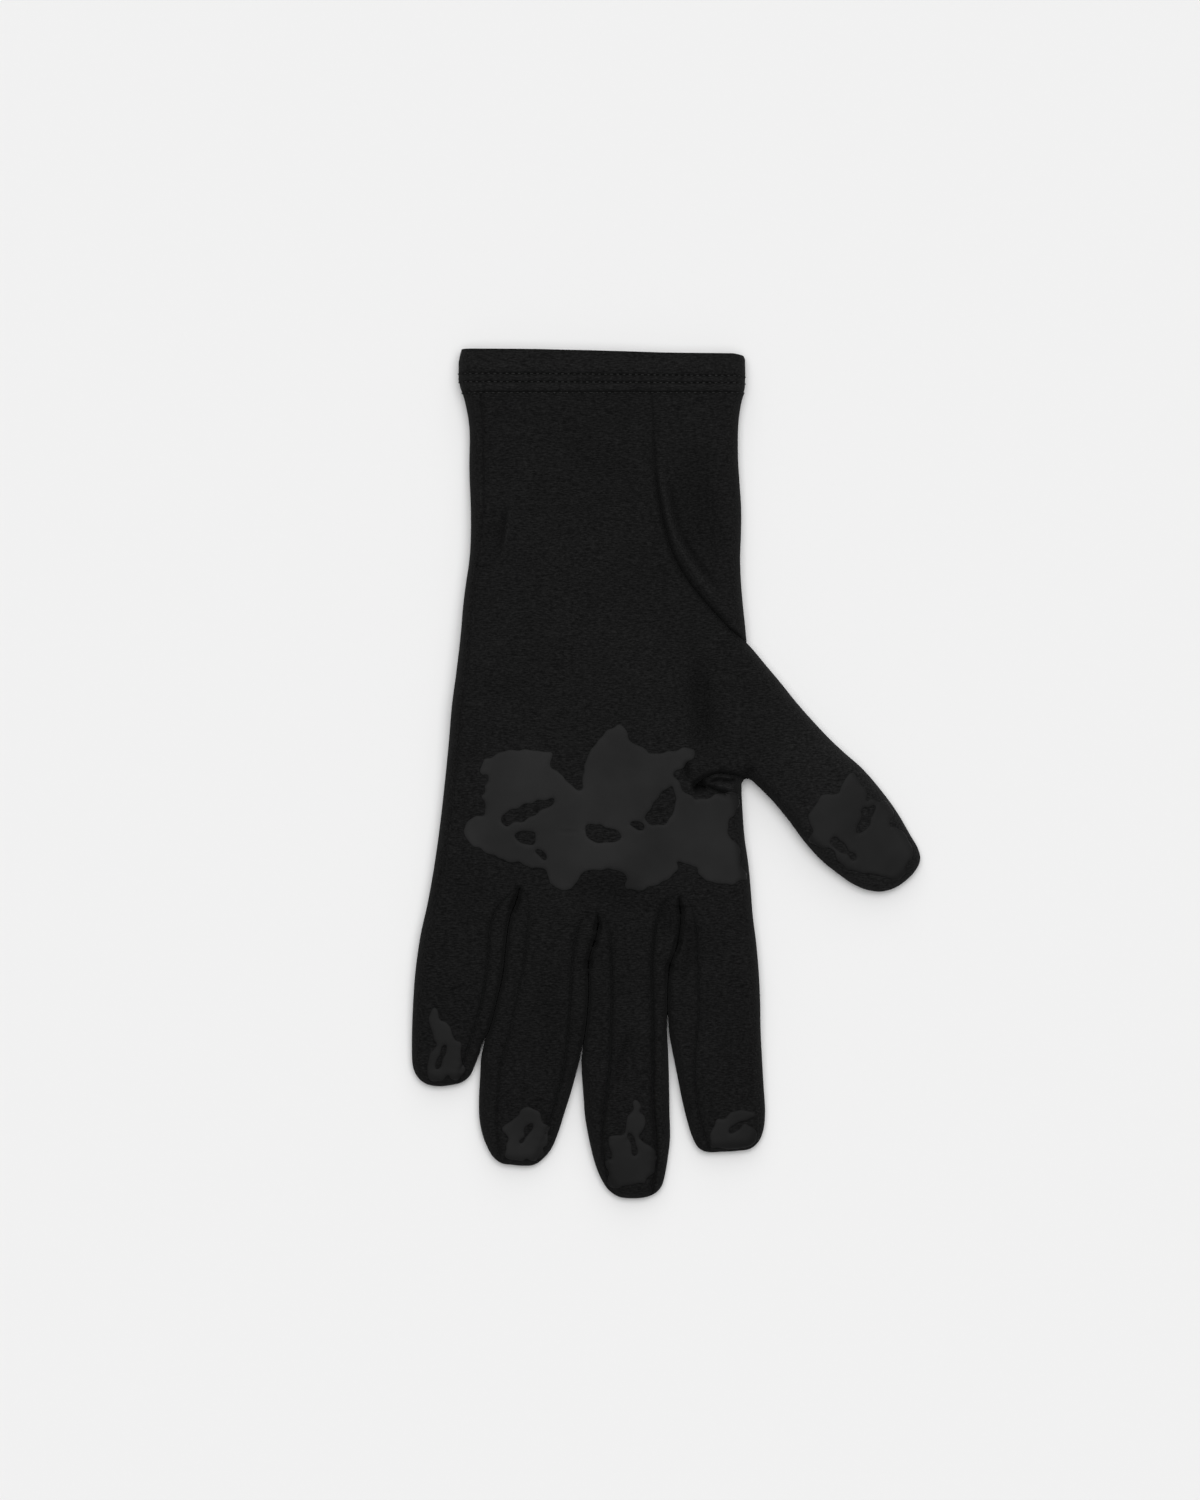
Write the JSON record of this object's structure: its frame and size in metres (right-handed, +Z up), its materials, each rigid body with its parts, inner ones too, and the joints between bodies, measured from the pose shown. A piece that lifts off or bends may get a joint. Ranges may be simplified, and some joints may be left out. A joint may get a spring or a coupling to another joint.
{
  "type": "glove liner",
  "caption": "Thin black knit glove for the left hand, lying flat palm up, with side strips between its fingers, a turned hem and rubbery grip prints.",
  "frame": {"origin": "the middle of the glove's plan box, on the surface that it lies on", "axes": "+Z up out of the palm, +Y towards the wrist, -Y to the fingertips, +X to the thumb's side"},
  "size_m": [0.1588, 0.2642, 0.0127],
  "materials": {
    "cloth": "black brushed jersey, matt, finely mottled with grey fibres",
    "strip_cloth": "the same black jersey, in the strips between the fingers",
    "hem_cloth": "the same black jersey, turned double and cover-stitched",
    "print": "smooth dark grey silicone print with a satin sheen"
  },
  "bodies": {
    "root": {"palm_panel": "cloth", "back_panel": "cloth", "fourchette_pinky_ring": "strip_cloth", "fourchette_ring_middle": "strip_cloth", "fourchette_middle_index": "strip_cloth", "thumb_quirk": "strip_cloth", "cuff_hem": "hem_cloth", "grip_palm": "print", "grip_thumb": "print", "grip_pinky": "print", "grip_ring": "print", "grip_middle": "print", "grip_index": "print"}
  },
  "joints": []
}
